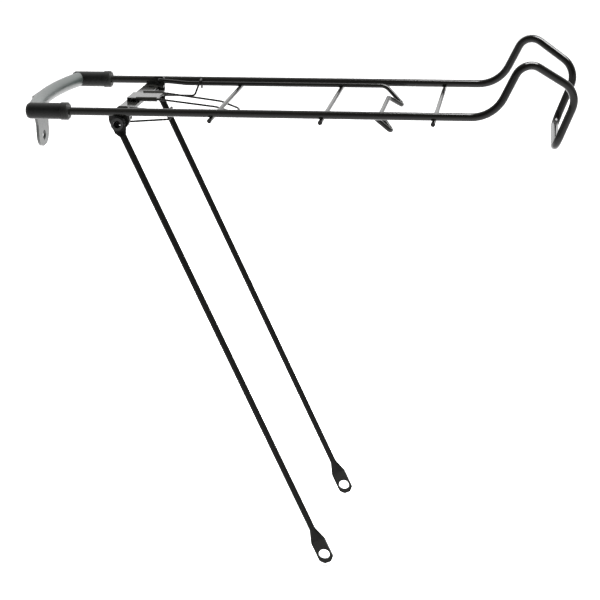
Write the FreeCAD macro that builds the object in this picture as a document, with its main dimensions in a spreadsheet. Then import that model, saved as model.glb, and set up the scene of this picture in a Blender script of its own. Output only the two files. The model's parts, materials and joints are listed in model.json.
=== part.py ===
"""Rear rack for a bicycle: a bent-rod platform with a front bow, two hinged stays and a sprung clip.

Frame: +X points rearward along the rails, +Y to the bicycle's right, +Z up.
Origin: centre of the bolt hole in the front tab, on the tab's front face. All sizes are in millimetres.
"""
import FreeCAD, Part
import Sketcher
import math
import os
import re

V = FreeCAD.Vector
doc = FreeCAD.newDocument("rear_rack")

# ---------------------------------------------------------------- driving dimensions
SIZES = {
    # platform
    "rail_dia": 7.0,            # rod of the main frame
    "rail_half": 73.0,          # rail centre to the middle of the rack
    "rail_height": 38.0,        # rail centre above the tab's hole
    "rail_front": 19.0,         # front end of the rod, inside the ferrule
    # raised loop at the rear: corners of the rod's centreline
    "foot_along": 413.0,
    "hump_along": 437.0,
    "hump_rise": 49.0,
    "hump_inset": 4.0,
    "rear_along": 483.0,
    "rear_rise": 18.0,
    "rear_inset": 20.0,
    "loop_along": 464.0,
    "loop_drop": 31.0,
    "loop_inset": 24.0,
    "foot_radius": 30.0,
    "hump_radius": 14.0,
    "rear_radius": 20.0,
    "loop_radius": 13.0,
    # front bow and ferrules
    "bow_dia": 13.0,
    "bow_front": 8.6,           # centreline of the bow at its middle
    "bow_corner": 18.0,         # centreline of the bow at its corners
    "ferrule_front": 11.2,
    "ferrule_nose": 3.0,
    "ferrule_rear": 49.5,
    "ferrule_dia": 14.2,
    "collar_dia": 15.4,
    "collar_length": 7.5,
    "collar_bevel": 1.4,
    # front tab
    "tab_thick": 2.5,
    "tab_half": 15.5,
    "tab_flare": 21.0,
    "tab_flare_low": 12.0,
    "tab_flare_high": 27.0,
    "tab_top": 40.0,
    "tab_bottom": 9.5,
    "tab_corner": 12.5,
    "tab_hole": 9.0,
    # cross rods
    "rod_dia": 4.0,
    "rod_first": 173.0,
    "rod_pitch": 95.0,
    "rod_overhang": 6.0,
    "rod_end_round": 1.2,
    # stay bridge
    "bridge_along": 92.0,
    "bridge_width": 18.6,
    "bridge_thick": 2.0,
    "waist_width": 14.0,
    "waist_half": 62.0,
    "waist_taper": 2.0,
    "lip_drop": 2.5,            # turned-down edges, below the web
    "lip_half": 32.0,
    "ear_thick": 2.5,
    "ear_top": 42.4,
    "ear_bevel": 2.0,
    "ear_shoulder": 5.0,
    "ear_round": 30.9,
    "rivet_relief": 12.0,
    "wire_hole": 3.0,
    "wire_hole_along": 89.0,
    "web_slot_half": 57.0,
    "web_slot_dia": 7.0,
    "hanger_half": 60.0,        # plate that carries a spring pin
    "hanger_thick": 1.5,
    "hanger_low": 24.0,
    "hanger_length": 16.0,
    # raised tongue in the middle of the bridge, curled round the spring wire
    "tongue_front": 85.0,
    "tongue_rear": 113.0,
    "tongue_half": 12.6,
    "tongue_top": 38.2,
    "tongue_thick": 1.5,
    "curl_front": 94.0,
    "curl_dia": 4.2,
    "curl_bore": 2.0,
    # stays
    "pivot_along": 92.0,
    "pivot_height": 28.0,
    "stay_reach": 175.0,        # axle eye behind the pivot
    "stay_drop": 400.0,         # axle eye below the pivot
    "stay_half": 76.0,
    "stay_dia": 6.0,
    "stay_flat": 2.6,
    "stay_top_width": 10.6,
    "stay_top_length": 6.6,
    "stay_top_flare": 4.5,
    "eye_width": 14.0,
    "eye_length": 14.0,
    "eye_flare": 13.0,
    "eye_end": 9.0,
    "eye_cut": 4.0,
    "axle_hole": 10.0,
    # hollow rivet, spacer and washer of each stay
    "rivet_dia": 8.0,
    "rivet_bore": 6.6,
    "rivet_head": 11.0,
    "rivet_lip": 0.8,
    "rivet_play": 0.1,          # diametral play of the stay on its rivet
    "side_play": 0.2,
    "spacer_dia": 11.0,
    "washer_dia": 12.5,
    "washer_thick": 1.0,
    # sprung clip
    "clip_dia": 4.0,
    "clip_half": 63.6,
    "clip_pivot_along": 97.0,
    "clip_pivot_height": 39.2,
    "clip_arm_height": 36.8,
    "clip_settle": 124.0,
    "clip_bend": 310.0,
    "tip_along": 328.5,
    "tip_half": 56.0,
    "tip_height": 19.0,
    "bar_along": 315.0,
    "bar_half": 37.0,
    "bar_height": 31.5,
    "pin_bend": 2.6,
    "settle_bend": 60.0,
    "arm_bend": 10.0,
    "tip_bend": 4.5,
    "bar_bend": 7.0,
    "pin_play": 0.1,
    "pin_gap": 0.3,
    # clip spring
    "spring_dia": 1.8,
    "coil_along": 95.0,
    "coil_height": 28.9,
    "coil_radius": 2.6,
    "coil_inner": 47.6,
    "coil_pitch": 2.0,
    "coil_turns": 4.5,
    "spring_pin_dia": 3.0,
    "spring_pin_head": 3.2,
    "spring_pin_lip": 1.0,
    "spring_pin_inner": 46.4,
    "leg_gap": 0.2,
    "leg_along": 133.0,
    "leg_half": 52.0,
    "leg_height": 27.7,
    "leg_bend": 3.0,
    "hook_along": 137.0,
    "hook_inner": 60.4,
    "hook_outer": 66.8,
    "hook_top": 40.3,
    "hook_end": 32.0,
    "hook_bend": 2.0,
    "bail_turn": 98.5,
    "bail_half": 14.0,
    "bail_height": 37.2,
    "bail_crest": 115.0,
    "bail_crest_bend": 20.0,
    "bail_dip": 166.0,
    "bail_dip_half": 12.3,
    "bail_dip_height": 30.9,
    "bail_end": 183.0,
    "bail_end_half": 9.5,
    "bail_end_height": 25.0,
    "bail_bend": 2.0,
    "bail_end_bend": 4.0,
}

sheet = doc.addObject("Spreadsheet::Sheet", "Sizes")
for row, (alias, size) in enumerate(SIZES.items(), start=1):
    sheet.set("A%d" % row, alias)
    sheet.set("B%d" % row, str(size))
    sheet.setAlias("B%d" % row, alias)
doc.recompute()


def size(alias):
    """A driving dimension, read from the sheet."""
    return float(sheet.get(alias))


def formula(text):
    """Turn 'rail_dia / 2' into an expression on the sheet's cells."""
    return re.sub(r"[a-z_]+\b(?!\()", lambda word: "Sizes." + word.group(0), text)


def bind(thing, **formulas):
    """Bind properties of an object to the sheet. A double underscore stands for a dot."""
    for name, text in formulas.items():
        thing.setExpression(name.replace("__", "."), formula(text))


def place(thing, along="0", across="0", up="0"):
    """Bind where an object stands."""
    bind(thing, Placement__Base__x=along, Placement__Base__y=across, Placement__Base__z=up)


# ---------------------------------------------------------------- helpers for Part Design bodies
def new_body(label):
    body = doc.addObject("PartDesign::Body", label)
    body.Label = label
    return body


def plane(body, role):
    for feature in body.Origin.OriginFeatures:
        if feature.Role == role:
            return feature
    raise ValueError(role)


def new_sketch(body, role, name, offset=None):
    """A sketch on one of the body's origin planes, moved along its normal by a formula."""
    sketch = body.newObject("Sketcher::SketchObject", name)
    sketch.AttachmentSupport = [(plane(body, role), "")]
    sketch.MapMode = "FlatFace"
    if offset:
        sketch.setExpression("AttachmentOffset.Base.z", formula(offset))
    return sketch


def fix_point(sketch, index, point, across, up):
    """Tie a sketch point to two formulas; a leading minus puts it on the negative side."""
    origin = (-1, 1)
    for kind, text in (("DistanceX", across), ("DistanceY", up)):
        pair = (origin, (index, point))
        if text.startswith("-"):
            pair = (pair[1], pair[0])
            text = text[1:]
        number = sketch.addConstraint(Sketcher.Constraint(kind, *pair[0], *pair[1], 1.0))
        sketch.setExpression("Constraints[%d]" % number, formula(text))


def polygon(sketch, corners):
    """Closed outline through corners, each given as two formulas."""
    count = len(corners)
    for i in range(count):
        turn = 2 * math.pi * i / count
        step = 2 * math.pi * (i + 1) / count
        start = V(20 * math.cos(turn), 20 * math.sin(turn), 0)
        end = V(20 * math.cos(step), 20 * math.sin(step), 0)
        sketch.addGeometry(Part.LineSegment(start, end), False)
    for i in range(count):
        sketch.addConstraint(Sketcher.Constraint("Coincident", i, 2, (i + 1) % count, 1))
    for i, (across, up) in enumerate(corners):
        fix_point(sketch, i, 1, across, up)


def circle(sketch, diameter, across=None, up=None):
    """A circle whose diameter, and centre if it is off the origin, follow formulas."""
    index = sketch.addGeometry(Part.Circle(V(0, 0, 0), V(0, 0, 1), 1.0), False)
    number = sketch.addConstraint(Sketcher.Constraint("Diameter", index, 2.0))
    sketch.setExpression("Constraints[%d]" % number, formula(diameter))
    if across is None:
        sketch.addConstraint(Sketcher.Constraint("Coincident", index, 3, -1, 1))
    else:
        fix_point(sketch, index, 3, across, up)


def pad(body, sketch, length, midplane=False, backward=False):
    feature = body.newObject("PartDesign::Pad", "pad_" + sketch.Name)
    feature.Profile = sketch
    feature.setExpression("Length", formula(length))
    feature.Midplane = midplane
    feature.Reversed = backward
    return feature


def drill(body, sketch):
    """Cut a sketch right through the body, both ways, and check that it took material away."""
    doc.recompute()
    before = body.Shape.Volume
    feature = body.newObject("PartDesign::Pocket", "cut_" + sketch.Name)
    feature.Profile = sketch
    feature.Type = "ThroughAll"
    feature.Midplane = True
    doc.recompute()
    assert body.Shape.Volume < before - 0.01, body.Label
    return feature


def revolve(body, sketch, role):
    feature = body.newObject("PartDesign::Revolution", "turn_" + sketch.Name)
    feature.Profile = sketch
    feature.ReferenceAxis = (plane(body, role), [""])
    feature.Angle = 360
    return feature


def turned(label, corners):
    """A turned piece whose axis is X: corners are (along, radius) formulas."""
    body = new_body(label)
    sketch = new_sketch(body, "XY_Plane", label + "_profile")
    polygon(sketch, corners)
    revolve(body, sketch, "X_Axis")
    return body


# ---------------------------------------------------------------- helpers for bent rods
def rounded_path(points, radii):
    """Straight runs through the points, joined by tangent arcs at the inner points."""
    edges = []
    start = points[0]
    for before, corner, after, radius in zip(points, points[1:], points[2:], radii):
        way_in = (corner - before).normalize()
        way_out = (after - corner).normalize()
        turn = way_in.getAngle(way_out)
        back = radius * math.tan(turn / 2)
        arc_in = corner - way_in * back
        arc_out = corner + way_out * back
        inward = (way_out - way_in).normalize()
        middle = corner + inward * (radius / math.cos(turn / 2) - radius)
        edges.append(Part.LineSegment(start, arc_in).toShape())
        edges.append(Part.Arc(arc_in, middle, arc_out).toShape())
        start = arc_out
    edges.append(Part.LineSegment(start, points[-1]).toShape())
    return Part.Wire(edges)


def sweep_rod(path, diameter):
    """A round rod along a path, checked against its section times its length."""
    first = path.OrderedEdges[0]
    along = first.tangentAt(first.FirstParameter)
    ring = Part.Wire([Part.makeCircle(diameter / 2, first.valueAt(first.FirstParameter), along)])
    rod = path.makePipeShell([ring], True, False)
    expected = math.pi * diameter ** 2 / 4 * path.Length
    assert abs(rod.Volume / expected - 1) < 0.01, "a swept rod has the wrong volume"
    return rod


def mirrored(points):
    """The points followed by their mirror images in the middle plane, in reverse."""
    return points + [V(point.x, -point.y, point.z) for point in reversed(points)]


def add_shape(label, shape):
    """A piece whose shape comes from code; its sizes were read from the sheet."""
    piece = doc.addObject("Part::Feature", label)
    piece.Label = label
    piece.Shape = shape
    piece.Placement = FreeCAD.Placement()
    return piece


pieces = []
SIDES = (("left", -1), ("right", 1))
HEIGHT = size("rail_height")
HALF = size("rail_half")


# ---------------------------------------------------------------- main frame
def make_main_frame():
    """One rod: left rail, hump, loop across the back, hump and right rail."""
    side = [
        V(size("rail_front"), HALF, HEIGHT),
        V(size("foot_along"), HALF, HEIGHT),
        V(size("hump_along"), HALF - size("hump_inset"), HEIGHT + size("hump_rise")),
        V(size("rear_along"), HALF - size("rear_inset"), HEIGHT + size("rear_rise")),
        V(size("loop_along"), HALF - size("loop_inset"), HEIGHT - size("loop_drop")),
    ]
    radii = [size("foot_radius"), size("hump_radius"), size("rear_radius"), size("loop_radius")]
    path = rounded_path(mirrored(side), radii + radii[::-1])
    return add_shape("main_frame", sweep_rod(path, size("rail_dia")))


pieces.append(make_main_frame())


# ---------------------------------------------------------------- front bow and ferrules
def make_ferrule(name, side):
    """Cap over the bow's corner and the rail's front end: round nose, blind bore and collar."""
    length = "ferrule_rear - ferrule_front"
    room = "rail_front - ferrule_front"
    ferrule = turned("ferrule_" + name, [
        ("0", "0"),
        ("0", "ferrule_dia / 2 - ferrule_nose"),
        ("ferrule_nose / 3", "ferrule_dia / 2 - ferrule_nose / 3"),
        ("ferrule_nose", "ferrule_dia / 2"),
        (length + " - collar_length", "ferrule_dia / 2"),
        (length + " - collar_length + collar_bevel / 4", "collar_dia / 2"),
        (length + " - collar_bevel", "collar_dia / 2"),
        (length, "collar_dia / 2 - collar_bevel"),
        (length, "rail_dia / 2"),
        (room, "rail_dia / 2"),
        (room, "0"),
    ])
    place(ferrule, "ferrule_front", "%d * rail_half" % side, "rail_height")
    return ferrule


ferrules = [make_ferrule(name, side) for name, side in SIDES]
pieces.extend(ferrules)
doc.recompute()


def make_front_bow():
    """Round tube across the front, cut to fit the ferrules and seated flat against the tab."""
    corner = size("bow_corner")
    centre_line = Part.Arc(V(corner, -HALF, HEIGHT), V(size("bow_front"), 0, HEIGHT), V(corner, HALF, HEIGHT))
    bow = sweep_rod(Part.Wire([centre_line.toShape()]), size("bow_dia"))
    low = HEIGHT - size("bow_dia")
    cutters = [Part.makeBox(size("tab_thick"), 2 * HALF, 2 * size("bow_dia"), V(0, -HALF, low))]
    for (_, side), ferrule in zip(SIDES, ferrules):
        outer = Part.makeBox(2 * size("bow_dia"), HALF, 2 * size("bow_dia"), V(0, HALF, low))
        if side < 0:
            outer = outer.mirror(V(0, 0, 0), V(0, 1, 0))
        rail_end = V(size("rail_front"), side * HALF, HEIGHT)
        rail = Part.makeCylinder(size("rail_dia") / 2, size("ferrule_rear"), rail_end, V(1, 0, 0))
        cutters.extend([ferrule.Shape, rail, outer])
    return add_shape("front_bow", bow.cut(cutters))


pieces.append(make_front_bow())


# ---------------------------------------------------------------- front tab
def make_front_tab():
    """Plate that hangs from the bow and takes the bolt to the bicycle's frame."""
    body = new_body("front_tab")
    outline = new_sketch(body, "YZ_Plane", "tab_outline")
    polygon(outline, [
        ("tab_half", "-tab_bottom"),
        ("tab_half", "tab_flare_low"),
        ("tab_flare", "tab_flare_high"),
        ("tab_flare", "tab_top"),
        ("-tab_flare", "tab_top"),
        ("-tab_flare", "tab_flare_high"),
        ("-tab_half", "tab_flare_low"),
        ("-tab_half", "-tab_bottom"),
    ])
    plate = pad(body, outline, "tab_thick")
    doc.recompute()
    rounds = []
    for number, edge in enumerate(plate.Shape.Edges, start=1):
        box = edge.BoundBox
        along_x = box.XLength > size("tab_thick") / 2 and box.YLength < 0.01 and box.ZLength < 0.01
        if along_x and box.ZMin < 0:
            rounds.append("Edge%d" % number)
    corners = body.newObject("PartDesign::Fillet", "tab_corners")
    corners.Base = (plate, rounds)
    corners.setExpression("Radius", formula("tab_corner"))
    doc.recompute()
    holes = new_sketch(body, "YZ_Plane", "tab_holes")
    circle(holes, "tab_hole")
    drill(body, holes)
    return body


pieces.append(make_front_tab())


# ---------------------------------------------------------------- cross rods
ROD_NAMES = ("front", "middle", "rear")
END_ROUND = size("rod_end_round")
for count, name in enumerate(ROD_NAMES):
    rod = doc.addObject("Part::Cylinder", "cross_rod_stock_" + name)
    bind(rod, Radius="rod_dia / 2", Height="2 * (rail_half + rod_overhang)")
    rod.Placement.Rotation = FreeCAD.Rotation(V(1, 0, 0), -90)
    place(rod, "rod_first + %d * rod_pitch" % count, "-(rail_half + rod_overhang)",
          "rail_height - rail_dia / 2 - rod_dia / 2")
    doc.recompute()
    ends = doc.addObject("Part::Fillet", "cross_rod_" + name)
    ends.Label = "cross_rod_" + name
    ends.Base = rod
    ends.Edges = [(1, END_ROUND, END_ROUND), (3, END_ROUND, END_ROUND)]
    pieces.append(ends)


# ---------------------------------------------------------------- stay bridge
def make_stay_bridge():
    """Pressed plate between the rails: an ear at each end, turned-down edges and a raised tongue."""
    body = new_body("stay_bridge")
    top = "rail_height - rail_dia / 2"
    under = "rail_height - rail_dia / 2 - bridge_thick"
    front = "bridge_along - bridge_width / 2"
    rear = "bridge_along + bridge_width / 2"
    slim_rear = "bridge_along - bridge_width / 2 + waist_width"
    inner = "rail_half - rail_dia / 2"
    web = new_sketch(body, "XY_Plane", "web_outline", under)
    polygon(web, [
        (front, "-(%s)" % inner),
        (rear, "-(%s)" % inner),
        (rear, "-waist_half"),
        (slim_rear, "-(waist_half - waist_taper)"),
        (slim_rear, "waist_half - waist_taper"),
        (rear, "waist_half"),
        (rear, inner),
        (front, inner),
    ])
    pad(body, web, "bridge_thick")
    lips = new_sketch(body, "XY_Plane", "lip_front", under + " - lip_drop")
    polygon(lips, [
        (front, "-lip_half"),
        (front + " + bridge_thick", "-lip_half"),
        (front + " + bridge_thick", "lip_half"),
        (front, "lip_half"),
    ])
    pad(body, lips, "lip_drop")
    lips = new_sketch(body, "XY_Plane", "lip_rear", under + " - lip_drop")
    polygon(lips, [
        (slim_rear + " - bridge_thick / 2", "-lip_half"),
        (slim_rear, "-lip_half"),
        (slim_rear, "lip_half"),
        (slim_rear + " - bridge_thick / 2", "lip_half"),
    ])
    pad(body, lips, "lip_drop")
    for name, side in SIDES:
        ear_start = inner + " - ear_thick" if side < 0 else "-(%s)" % inner
        ear = new_sketch(body, "XZ_Plane", "ear_" + name, ear_start)
        polygon(ear, [
            (front, "ear_round"),
            (rear, "ear_round"),
            (rear, "ear_top - ear_bevel"),
            (rear + " - ear_bevel", "ear_top"),
            ("bridge_along", "ear_top"),
            ("bridge_along - ear_shoulder", "rail_height"),
            (front, top),
        ])
        pad(body, ear, "ear_thick")
        disc = new_sketch(body, "XZ_Plane", "ear_disc_" + name, ear_start)
        circle(disc, "bridge_width", "bridge_along", "ear_round")
        pad(body, disc, "ear_thick")
    doc.recompute()
    side_holes = new_sketch(body, "XZ_Plane", "side_holes")
    circle(side_holes, "rivet_dia", "pivot_along", "pivot_height")
    drill(body, side_holes)
    pin_holes = new_sketch(body, "XZ_Plane", "pin_holes")
    circle(pin_holes, "clip_dia + pin_play", "clip_pivot_along", "clip_pivot_height")
    drill(body, pin_holes)
    web_holes = new_sketch(body, "XY_Plane", "web_holes")
    for mark in ("", "-"):
        circle(web_holes, "wire_hole", "wire_hole_along", mark + "bail_half")
        circle(web_holes, "web_slot_dia", "bridge_along - 2", mark + "web_slot_half")
    drill(body, web_holes)
    # room for the inner heads of the stay rivets
    relief = new_sketch(body, "XZ_Plane", "rivet_room")
    circle(relief, "rivet_relief", "pivot_along", "pivot_height")
    doc.recompute()
    before = body.Shape.Volume
    room = body.newObject("PartDesign::Pocket", "cut_rivet_room")
    room.Profile = relief
    room.setExpression("Length", formula("2 * (%s - ear_thick)" % inner))
    room.Midplane = True
    doc.recompute()
    assert body.Shape.Volume < before - 1, "the rivet heads have no room"
    for name, side in SIDES:
        # a hanger for the spring pin, just inside each ear
        hanger_start = "hanger_half" if side < 0 else "-(hanger_half + hanger_thick)"
        hanger = new_sketch(body, "XZ_Plane", "hanger_" + name, hanger_start)
        polygon(hanger, [
            (front, "hanger_low"),
            (front + " + hanger_length", "hanger_low"),
            (front + " + hanger_length", top + " - bridge_thick / 2"),
            (front, top + " - bridge_thick / 2"),
        ])
        pad(body, hanger, "hanger_thick")
    # the raised tongue: a riser, a plate and a curl along each side
    riser = new_sketch(body, "XZ_Plane", "riser")
    polygon(riser, [
        ("tongue_front", under),
        ("tongue_front + tongue_thick", under),
        ("tongue_front + tongue_thick", "tongue_top"),
        ("tongue_front", "tongue_top"),
    ])
    pad(body, riser, "2 * tongue_half", midplane=True)
    plate = new_sketch(body, "XY_Plane", "tongue_plate", "tongue_top - tongue_thick")
    polygon(plate, [
        ("tongue_front", "-tongue_half"),
        ("tongue_rear", "-tongue_half"),
        ("tongue_rear", "tongue_half"),
        ("tongue_front", "tongue_half"),
    ])
    pad(body, plate, "tongue_thick")
    for name, mark in (("left", "-"), ("right", "")):
        curl = new_sketch(body, "YZ_Plane", "curl_" + name, "curl_front")
        circle(curl, "curl_dia", mark + "bail_half", "bail_height")
        pad(body, curl, "tongue_rear - curl_front")
    bores = new_sketch(body, "YZ_Plane", "curl_bores")
    for mark in ("", "-"):
        circle(bores, "curl_bore", mark + "bail_half", "bail_height")
    drill(body, bores)
    return body


pieces.append(make_stay_bridge())


# ---------------------------------------------------------------- stays
def make_stay(name, side):
    """Round rod, flattened at the top for its rivet and at the bottom for the axle."""
    body = new_body("stay_" + name)
    length = "sqrt(pow(stay_reach; 2) + pow(stay_drop; 2))"
    top_neck = "stay_top_length"
    rod_top = "(stay_top_length + stay_top_flare)"
    eye_top = "(%s - eye_length)" % length
    rod_low = "(%s - eye_length - eye_flare)" % length
    # rod, from below the top flare to above the eye's flare
    rod = new_sketch(body, "XY_Plane", "rod_" + name, "-" + rod_top)
    circle(rod, "stay_dia")
    pad(body, rod, "%s - %s" % (rod_low, rod_top), backward=True)
    # flat top with the rivet's hole
    top = new_sketch(body, "XZ_Plane", "top_flat_" + name)
    polygon(top, [
        ("stay_top_width / 2", "-" + top_neck),
        ("stay_top_width / 2", "stay_top_width / 4"),
        ("stay_top_width / 4", "stay_top_width / 2"),
        ("-stay_top_width / 4", "stay_top_width / 2"),
        ("-stay_top_width / 2", "stay_top_width / 4"),
        ("-stay_top_width / 2", "-" + top_neck),
    ])
    pad(body, top, "stay_flat", midplane=True)
    # eye for the axle, its end cut square with clipped corners
    eye = new_sketch(body, "XZ_Plane", "eye_flat_" + name)
    polygon(eye, [
        ("eye_width / 2", "-" + eye_top),
        ("-eye_width / 2", "-" + eye_top),
        ("-eye_width / 2", "-(%s + eye_end - eye_cut)" % length),
        ("-(eye_width / 2 - eye_cut)", "-(%s + eye_end)" % length),
        ("eye_width / 2 - eye_cut", "-(%s + eye_end)" % length),
        ("eye_width / 2", "-(%s + eye_end - eye_cut)" % length),
    ])
    pad(body, eye, "stay_flat", midplane=True)
    # flares between the round rod and the two flats
    for end, flat_at, round_at, width in (
        ("top", top_neck, rod_top, "stay_top_width"),
        ("eye", eye_top, rod_low, "eye_width"),
    ):
        oval = new_sketch(body, "XY_Plane", "flare_%s_%s" % (end, name), "-" + flat_at)
        polygon(oval, [
            ("%s / 2" % width, "stay_flat / 2"),
            ("-%s / 2" % width, "stay_flat / 2"),
            ("-%s / 2" % width, "-stay_flat / 2"),
            ("%s / 2" % width, "-stay_flat / 2"),
        ])
        ring = new_sketch(body, "XY_Plane", "flare_ring_%s_%s" % (end, name), "-" + round_at)
        circle(ring, "stay_dia")
        flare = body.newObject("PartDesign::AdditiveLoft", "flare_solid_%s_%s" % (end, name))
        flare.Profile = oval
        flare.Sections = [ring]
        flare.Ruled = False
    doc.recompute()
    holes = new_sketch(body, "XZ_Plane", "stay_holes_" + name)
    circle(holes, "rivet_dia + rivet_play")
    circle(holes, "axle_hole", "0", "-" + length)
    drill(body, holes)
    body.setExpression("Placement", formula(
        "placement(vector(pivot_along; %d * stay_half; pivot_height); "
        "rotation(vector(0; 1; 0); -atan(stay_reach / stay_drop)))" % side))
    return body


for name, side in SIDES:
    pieces.append(make_stay(name, side))

# ---------------------------------------------------------------- stay rivets, spacers and washers
for name, side in SIDES:
    inner_face = "(rail_half - rail_dia / 2 - ear_thick)"
    outer_face = "(stay_half + stay_flat / 2 + side_play)"
    spacer_start = "(rail_half - rail_dia / 2)"
    spacer_end = "(stay_half - stay_flat / 2 - side_play - washer_thick)"
    rivet = turned("stay_rivet_" + name, [
        ("0", "rivet_bore / 2"),
        ("0", "rivet_head / 2"),
        ("rivet_lip", "rivet_head / 2"),
        ("rivet_lip", "rivet_dia / 2"),
        ("rivet_lip + %s - %s" % (outer_face, inner_face), "rivet_dia / 2"),
        ("rivet_lip + %s - %s" % (outer_face, inner_face), "rivet_head / 2"),
        ("2 * rivet_lip + %s - %s" % (outer_face, inner_face), "rivet_head / 2"),
        ("2 * rivet_lip + %s - %s" % (outer_face, inner_face), "rivet_bore / 2"),
    ])
    spacer = turned("stay_spacer_" + name, [
        ("0", "rivet_dia / 2"),
        ("0", "spacer_dia / 2"),
        ("%s - %s" % (spacer_end, spacer_start), "spacer_dia / 2"),
        ("%s - %s" % (spacer_end, spacer_start), "rivet_dia / 2"),
    ])
    washer = turned("stay_washer_" + name, [
        ("0", "rivet_dia / 2"),
        ("0", "washer_dia / 2"),
        ("washer_thick", "washer_dia / 2"),
        ("washer_thick", "rivet_dia / 2"),
    ])
    for body, start in ((rivet, "(%s - rivet_lip)" % inner_face), (spacer, spacer_start), (washer, spacer_end)):
        body.setExpression("Placement", formula(
            "placement(vector(pivot_along; %d * %s; pivot_height); rotation(vector(0; 0; 1); %d))"
            % (side, start, 90 * side)))
        pieces.append(body)


# ---------------------------------------------------------------- sprung clip
def make_clip_frame():
    """Wire clip: a pin in each ear, an arm along each rail, two fingers and the bar between them."""
    arm = size("clip_half")
    pin_end = HALF - size("rail_dia") / 2 - size("pin_gap")
    side = [
        V(size("clip_pivot_along"), pin_end, size("clip_pivot_height")),
        V(size("clip_pivot_along"), arm, size("clip_pivot_height")),
        V(size("clip_settle"), arm, size("clip_arm_height")),
        V(size("clip_bend"), arm, size("clip_arm_height")),
        V(size("tip_along"), size("tip_half"), size("tip_height")),
        V(size("bar_along"), size("bar_half"), size("bar_height")),
    ]
    radii = [size(bend) for bend in ("pin_bend", "settle_bend", "arm_bend", "tip_bend", "bar_bend")]
    path = rounded_path(mirrored(side), radii + radii[::-1])
    return add_shape("clip_frame", sweep_rod(path, size("clip_dia")))


pieces.append(make_clip_frame())

# ---------------------------------------------------------------- clip spring
COIL = V(size("coil_along"), 0, size("coil_height"))
COIL_LENGTH = size("coil_pitch") * size("coil_turns")
COIL_OUTER = size("coil_inner") + COIL_LENGTH


def make_coil(side):
    """Turns of spring wire round the pin: in at the top, out at the bottom towards the rear."""
    helix = Part.makeHelix(size("coil_pitch"), COIL_LENGTH, size("coil_radius"))
    start = V(size("coil_radius"), 0, 0)
    ring = Part.Wire([Part.makeCircle(size("spring_dia") / 2, start, V(0, 1, 0))])
    coil = Part.Wire(helix.Edges).makePipeShell([ring], True, True)
    # lay the helix along +Y with its start on top
    turn = FreeCAD.Rotation(V(0, 0, 1), V(1, 0, 0), V(0, 1, 0), "XYZ")
    coil.Placement = FreeCAD.Placement(COIL + V(0, size("coil_inner"), 0), turn)
    coil = coil.mirror(COIL, V(1, 0, 0))
    if side < 0:
        coil = coil.mirror(V(0, 0, 0), V(0, 1, 0))
    return coil


def make_spring_bail():
    """Both coils and the wire between them: up through the bridge, along the tongue, under a cross rod."""
    top = size("coil_height") + size("coil_radius")
    side = [
        V(size("coil_along"), size("coil_inner"), top),
        V(size("bail_turn"), size("coil_inner"), top),
        V(size("wire_hole_along"), size("bail_half"), top),
        V(size("wire_hole_along"), size("bail_half"), size("bail_height")),
        V(size("bail_crest"), size("bail_half"), size("bail_height")),
        V(size("bail_dip"), size("bail_dip_half"), size("bail_dip_height")),
        V(size("bail_end"), size("bail_end_half"), size("bail_end_height")),
    ]
    bends = ("bail_bend", "bail_bend", "bail_bend", "bail_crest_bend", "bail_crest_bend", "bail_end_bend")
    radii = [size(bend) for bend in bends]
    path = rounded_path(mirrored(side), radii + radii[::-1])
    bail = sweep_rod(path, size("spring_dia"))
    return add_shape("spring_bail", bail.fuse([make_coil(1), make_coil(-1)]))


pieces.append(make_spring_bail())


def make_spring_leg(name, side):
    """Last turn of a coil and the wire from it to the hook over the clip's arm."""
    turn_place = COIL_OUTER + size("spring_dia") + size("leg_gap")
    points = [
        V(size("coil_along"), turn_place, size("coil_height") - size("coil_radius")),
        V(size("leg_along"), size("leg_half"), size("leg_height")),
        V(size("hook_along"), size("hook_inner"), size("hook_top")),
        V(size("hook_along"), size("hook_outer"), size("hook_top")),
        V(size("hook_along"), size("hook_outer"), size("hook_end")),
    ]
    points = [V(point.x, -point.y, point.z) for point in points]
    radii = [size("leg_bend"), size("hook_bend"), size("hook_bend")]
    leg = sweep_rod(rounded_path(points, radii), size("spring_dia"))
    centre = COIL + V(0, -turn_place, 0)
    last_turn = Part.makeTorus(size("coil_radius"), size("spring_dia") / 2, centre, V(0, 1, 0))
    leg = leg.fuse(last_turn)
    if side > 0:
        leg = leg.mirror(V(0, 0, 0), V(0, 1, 0))
    return add_shape("spring_leg_" + name, leg)


for name, side in SIDES:
    pieces.append(make_spring_leg(name, side))

for name, side in SIDES:
    pin_length = "(hanger_half - spring_pin_inner)"
    spring_pin = turned("spring_pin_" + name, [
        ("0", "0"),
        ("0", "spring_pin_dia / 2"),
        (pin_length, "spring_pin_dia / 2"),
        (pin_length, "spring_pin_head / 2"),
        (pin_length + " + spring_pin_lip", "spring_pin_head / 2"),
        (pin_length + " + spring_pin_lip", "0"),
    ])
    spring_pin.setExpression("Placement", formula(
        "placement(vector(coil_along; %d * hanger_half; coil_height); rotation(vector(0; 0; 1); %d))"
        % (side, -90 * side)))
    pieces.append(spring_pin)

# ---------------------------------------------------------------- check and write
doc.recompute()
for thing in doc.Objects:
    states = [state for state in thing.State if state in ("Invalid", "Error")]
    assert not states, (thing.Label, states)
os.makedirs("parts", exist_ok=True)
for piece in pieces:
    shape = piece.Shape
    assert not shape.isNull() and shape.isValid() and len(shape.Solids) == 1, piece.Label
    shape.exportStep("parts/%s.step" % piece.Label)
    box = shape.BoundBox
    print("%-18s solids %d volume %9.1f  x %.1f..%.1f  y %.1f..%.1f  z %.1f..%.1f" % (
        piece.Label, len(shape.Solids), shape.Volume, box.XMin, box.XMax, box.YMin, box.YMax, box.ZMin, box.ZMax))
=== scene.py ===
"""Looks of the rear rack: gloss black on bent rod, satin grey-black on bow and tab, floor, light and camera.

Everything is in metres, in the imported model's frame: +X rearward, +Y to the bicycle's right, +Z up.
"""
import json
import math

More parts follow.
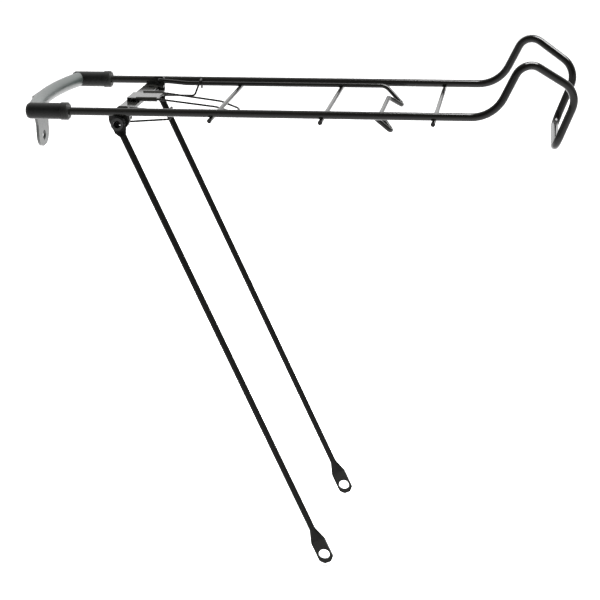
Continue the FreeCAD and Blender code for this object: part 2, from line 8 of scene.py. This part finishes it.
import bmesh
import bpy
from mathutils import Matrix, Vector


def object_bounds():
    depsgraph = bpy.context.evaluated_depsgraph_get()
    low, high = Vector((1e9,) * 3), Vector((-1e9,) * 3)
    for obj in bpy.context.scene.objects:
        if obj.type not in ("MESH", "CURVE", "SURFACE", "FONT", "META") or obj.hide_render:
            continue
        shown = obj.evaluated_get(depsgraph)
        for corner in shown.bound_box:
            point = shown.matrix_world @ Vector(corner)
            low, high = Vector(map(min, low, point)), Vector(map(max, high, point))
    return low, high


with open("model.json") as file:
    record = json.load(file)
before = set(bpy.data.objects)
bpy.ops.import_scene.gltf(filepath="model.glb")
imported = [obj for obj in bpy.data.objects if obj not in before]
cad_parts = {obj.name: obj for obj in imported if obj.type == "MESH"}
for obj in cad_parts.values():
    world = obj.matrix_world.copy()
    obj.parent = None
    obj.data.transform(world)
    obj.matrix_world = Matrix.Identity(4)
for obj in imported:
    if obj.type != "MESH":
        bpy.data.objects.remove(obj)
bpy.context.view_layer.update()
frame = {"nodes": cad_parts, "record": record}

MM = 0.001

# ---------------------------------------------------------------- camera
CAMERA_PLACE = Vector((0.4526, -1.4257, 0.3290))
CAMERA_TURN = math.radians(-8.612)      # to the left of +Y
CAMERA_DIP = math.radians(18.442)       # below the horizon
CAMERA_ROLL = math.radians(-0.925)
CAMERA_LENS = 98.62
SENSOR = 36
NEAREST = 0.05
FARTHEST = 50


def make_camera():
    """A camera on the rack's left, a little behind and above it."""
    forward = Vector((math.sin(CAMERA_TURN) * math.cos(CAMERA_DIP),
                      math.cos(CAMERA_TURN) * math.cos(CAMERA_DIP),
                      -math.sin(CAMERA_DIP)))
    level = Vector((math.cos(CAMERA_TURN), -math.sin(CAMERA_TURN), 0))
    upright = level.cross(forward)
    right = level * math.cos(CAMERA_ROLL) + upright * math.sin(CAMERA_ROLL)
    up = upright * math.cos(CAMERA_ROLL) - level * math.sin(CAMERA_ROLL)
    data = bpy.data.cameras.new("camera")
    data.lens = CAMERA_LENS
    data.sensor_width = SENSOR
    data.clip_start = NEAREST
    data.clip_end = FARTHEST
    camera = bpy.data.objects.new("camera", data)
    turn = Matrix((right, up, -forward)).transposed().to_4x4()
    camera.matrix_world = Matrix.Translation(CAMERA_PLACE) @ turn
    bpy.context.scene.collection.objects.link(camera)
    bpy.context.scene.camera = camera


make_camera()


# ---------------------------------------------------------------- floor and light
FLOOR_HALF = 14.0
FLOOR_GAP = 2 * MM                      # below the lowest point of the rack
FLOOR_CELLS = 8
FLOOR_MIDDLE = 0.25
PALE = (0.93, 0.93, 0.93, 1)
WHITE = (1, 1, 1, 1)


def make_floor():
    """A wide, flat, pale floor just below the stays."""
    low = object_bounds()[0].z - FLOOR_GAP
    grid = bmesh.new()
    bmesh.ops.create_grid(grid, x_segments=FLOOR_CELLS, y_segments=FLOOR_CELLS, size=FLOOR_HALF)
    mesh = bpy.data.meshes.new("floor")
    grid.to_mesh(mesh)
    grid.free()
    floor = bpy.data.objects.new("floor", mesh)
    floor.location = (FLOOR_MIDDLE, 0, low)
    bpy.context.scene.collection.objects.link(floor)
    paint = bpy.data.materials.new("floor_paint")
    paint.use_nodes = True
    shader = paint.node_tree.nodes["Principled BSDF"]
    shader.inputs["Base Color"].default_value = PALE
    shader.inputs["Roughness"].default_value = 0.9
    shader.inputs["Specular IOR Level"].default_value = 0.1
    mesh.materials.append(paint)


make_floor()


def map_range(nodes, links, value, source, target=(0, 1)):
    """Map a value from one range to another, and hold it at the ends."""
    node = nodes.new("ShaderNodeMapRange")
    node.inputs["From Min"].default_value, node.inputs["From Max"].default_value = source
    node.inputs["To Min"].default_value, node.inputs["To Max"].default_value = target
    links.new(value, node.inputs["Value"])
    return node.outputs["Result"]


# where the dark card sets in, as parts of a unit direction
CARD_LOW = (0.12, 0.30)
CARD_SIDE = (0.30, -0.25)


def make_world(bright, dark):
    """White light all round, but for a dark card high on the rack's left."""
    world = bpy.data.worlds.new("studio")
    world.use_nodes = True
    nodes = world.node_tree.nodes
    links = world.node_tree.links
    direction = nodes.new("ShaderNodeSeparateXYZ")
    links.new(nodes.new("ShaderNodeTexCoord").outputs["Generated"], direction.inputs["Vector"])
    high = map_range(nodes, links, direction.outputs["Z"], CARD_LOW)
    left = map_range(nodes, links, direction.outputs["Y"], CARD_SIDE)
    card = nodes.new("ShaderNodeMath")
    card.operation = "MULTIPLY"
    links.new(high, card.inputs[0])
    links.new(left, card.inputs[1])
    strength = map_range(nodes, links, card.outputs["Value"], (0, 1), (bright, dark))
    background = nodes["Background"]
    background.inputs["Color"].default_value = WHITE
    links.new(strength, background.inputs["Strength"])
    bpy.context.scene.world = world


def make_softbox(name, place, target, width, height, power):
    data = bpy.data.lights.new(name, "AREA")
    data.shape = "RECTANGLE"
    data.size = width
    data.size_y = height
    data.energy = power
    light = bpy.data.objects.new(name, data)
    light.location = place
    light.rotation_mode = "QUATERNION"
    light.rotation_quaternion = (Vector(target) - Vector(place)).to_track_quat("-Z", "Y")
    bpy.context.scene.collection.objects.link(light)


RACK_MIDDLE = (0.30, 0, 0.0)
make_world(bright=1.75, dark=0.10)
make_softbox("overhead", place=(0.80, 0.15, 1.5), target=RACK_MIDDLE, width=0.9, height=1.2, power=150)
bpy.context.scene.view_settings.view_transform = "Standard"


# ---------------------------------------------------------------- materials
def noise(nodes, links, place, scale, detail=3.0, roughness=0.5):
    texture = nodes.new("ShaderNodeTexNoise")
    texture.inputs["Scale"].default_value = scale
    texture.inputs["Detail"].default_value = detail
    texture.inputs["Roughness"].default_value = roughness
    links.new(place, texture.inputs["Vector"])
    return texture.outputs["Fac"]


def ramp(nodes, links, value, stops):
    node = nodes.new("ShaderNodeValToRGB")
    while len(node.color_ramp.elements) < len(stops):
        node.color_ramp.elements.new(0.5)
    for element, (position, colour) in zip(node.color_ramp.elements, stops):
        element.position = position
        element.color = (*colour, 1)
    links.new(value, node.inputs["Fac"])
    return node.outputs["Color"]


# sizes of the paint's detail, as noise scales, and where its edges are rubbed
DRIFT_SCALE = 26
DUST_SCALE = 620
PEEL_SCALE = 340
PEEL_DEPTH = 0.12 * MM
DUST_ROUGHNESS = 0.12
RUB_POINTS = (0.53, 0.60)
RUB_MOST = 0.6


def make_tone(nodes, links, place, colour):
    """The paint's colour, a little darker or lighter from place to place."""
    drift = noise(nodes, links, place, DRIFT_SCALE, 4)
    return ramp(nodes, links, drift, [
        (0.30, tuple(0.8 * c for c in colour)),
        (0.70, tuple(1.3 * c for c in colour)),
    ])


def rub_edges(nodes, links, tone, worn):
    """Mix in the worn colour where the surface is sharp."""
    edges = nodes.new("ShaderNodeNewGeometry").outputs["Pointiness"]
    mix = nodes.new("ShaderNodeMix")
    mix.data_type = "RGBA"
    links.new(map_range(nodes, links, edges, RUB_POINTS, (0, RUB_MOST)), mix.inputs["Factor"])
    links.new(tone, mix.inputs["A"])
    mix.inputs["B"].default_value = (*worn, 1)
    return mix.outputs["Result"]


def make_paint(name, colour, worn, gloss, shine, orange_peel):
    """Stoved paint: slow tone drift, orange peel, fine dust in the gloss and rubbed edges."""
    paint = bpy.data.materials.new(name)
    paint.use_nodes = True
    nodes = paint.node_tree.nodes
    links = paint.node_tree.links
    shader = nodes["Principled BSDF"]
    place = nodes.new("ShaderNodeTexCoord").outputs["Object"]
    tone = make_tone(nodes, links, place, colour)
    links.new(rub_edges(nodes, links, tone, worn), shader.inputs["Base Color"])
    dust = noise(nodes, links, place, DUST_SCALE, 3, 0.6)
    roughness = map_range(nodes, links, dust, (0, 1), (gloss, gloss + DUST_ROUGHNESS))
    links.new(roughness, shader.inputs["Roughness"])
    shader.inputs["Specular IOR Level"].default_value = shine
    peel = nodes.new("ShaderNodeBump")
    peel.inputs["Strength"].default_value = orange_peel
    peel.inputs["Distance"].default_value = PEEL_DEPTH
    links.new(noise(nodes, links, place, PEEL_SCALE, 2), peel.inputs["Height"])
    links.new(peel.outputs["Normal"], shader.inputs["Normal"])
    return paint


BLACK = (0.0020, 0.0019, 0.0017)
WORN = (0.010, 0.010, 0.009)
GREENISH = (0.008, 0.011, 0.010)
GREY = (0.014, 0.018, 0.017)
# slot: colour, worn colour, roughness, specular level, orange peel
LOOKS = {
    "frame_paint": (BLACK, WORN, 0.08, 0.14, 0.10),
    "stay_paint": (BLACK, WORN, 0.14, 0.05, 0.15),
    "bow_paint": (GREENISH, WORN, 0.36, 0.50, 0.3),
    "tab_paint": (GREY, WORN, 0.34, 0.60, 0.3),
    "ferrule_paint": ((0.0020, 0.0022, 0.0020), WORN, 0.34, 0.12, 0.6),
    "bridge_paint": (BLACK, WORN, 0.10, 0.12, 0.2),
    "clip_paint": (BLACK, WORN, 0.12, 0.14, 0.1),
    "spring_wire": (BLACK, WORN, 0.22, 0.08, 0.1),
    "rivet_metal": ((0.003, 0.003, 0.003), (0.03, 0.03, 0.03), 0.2, 0.10, 0.2),
}
PAINTS = {slot: make_paint(slot, *look) for slot, look in LOOKS.items()}

for entry in frame["record"]["subparts"]:
    node = frame["nodes"][entry["node"]]
    node.data.materials.clear()
    node.data.materials.append(PAINTS[entry["material_slot"]])
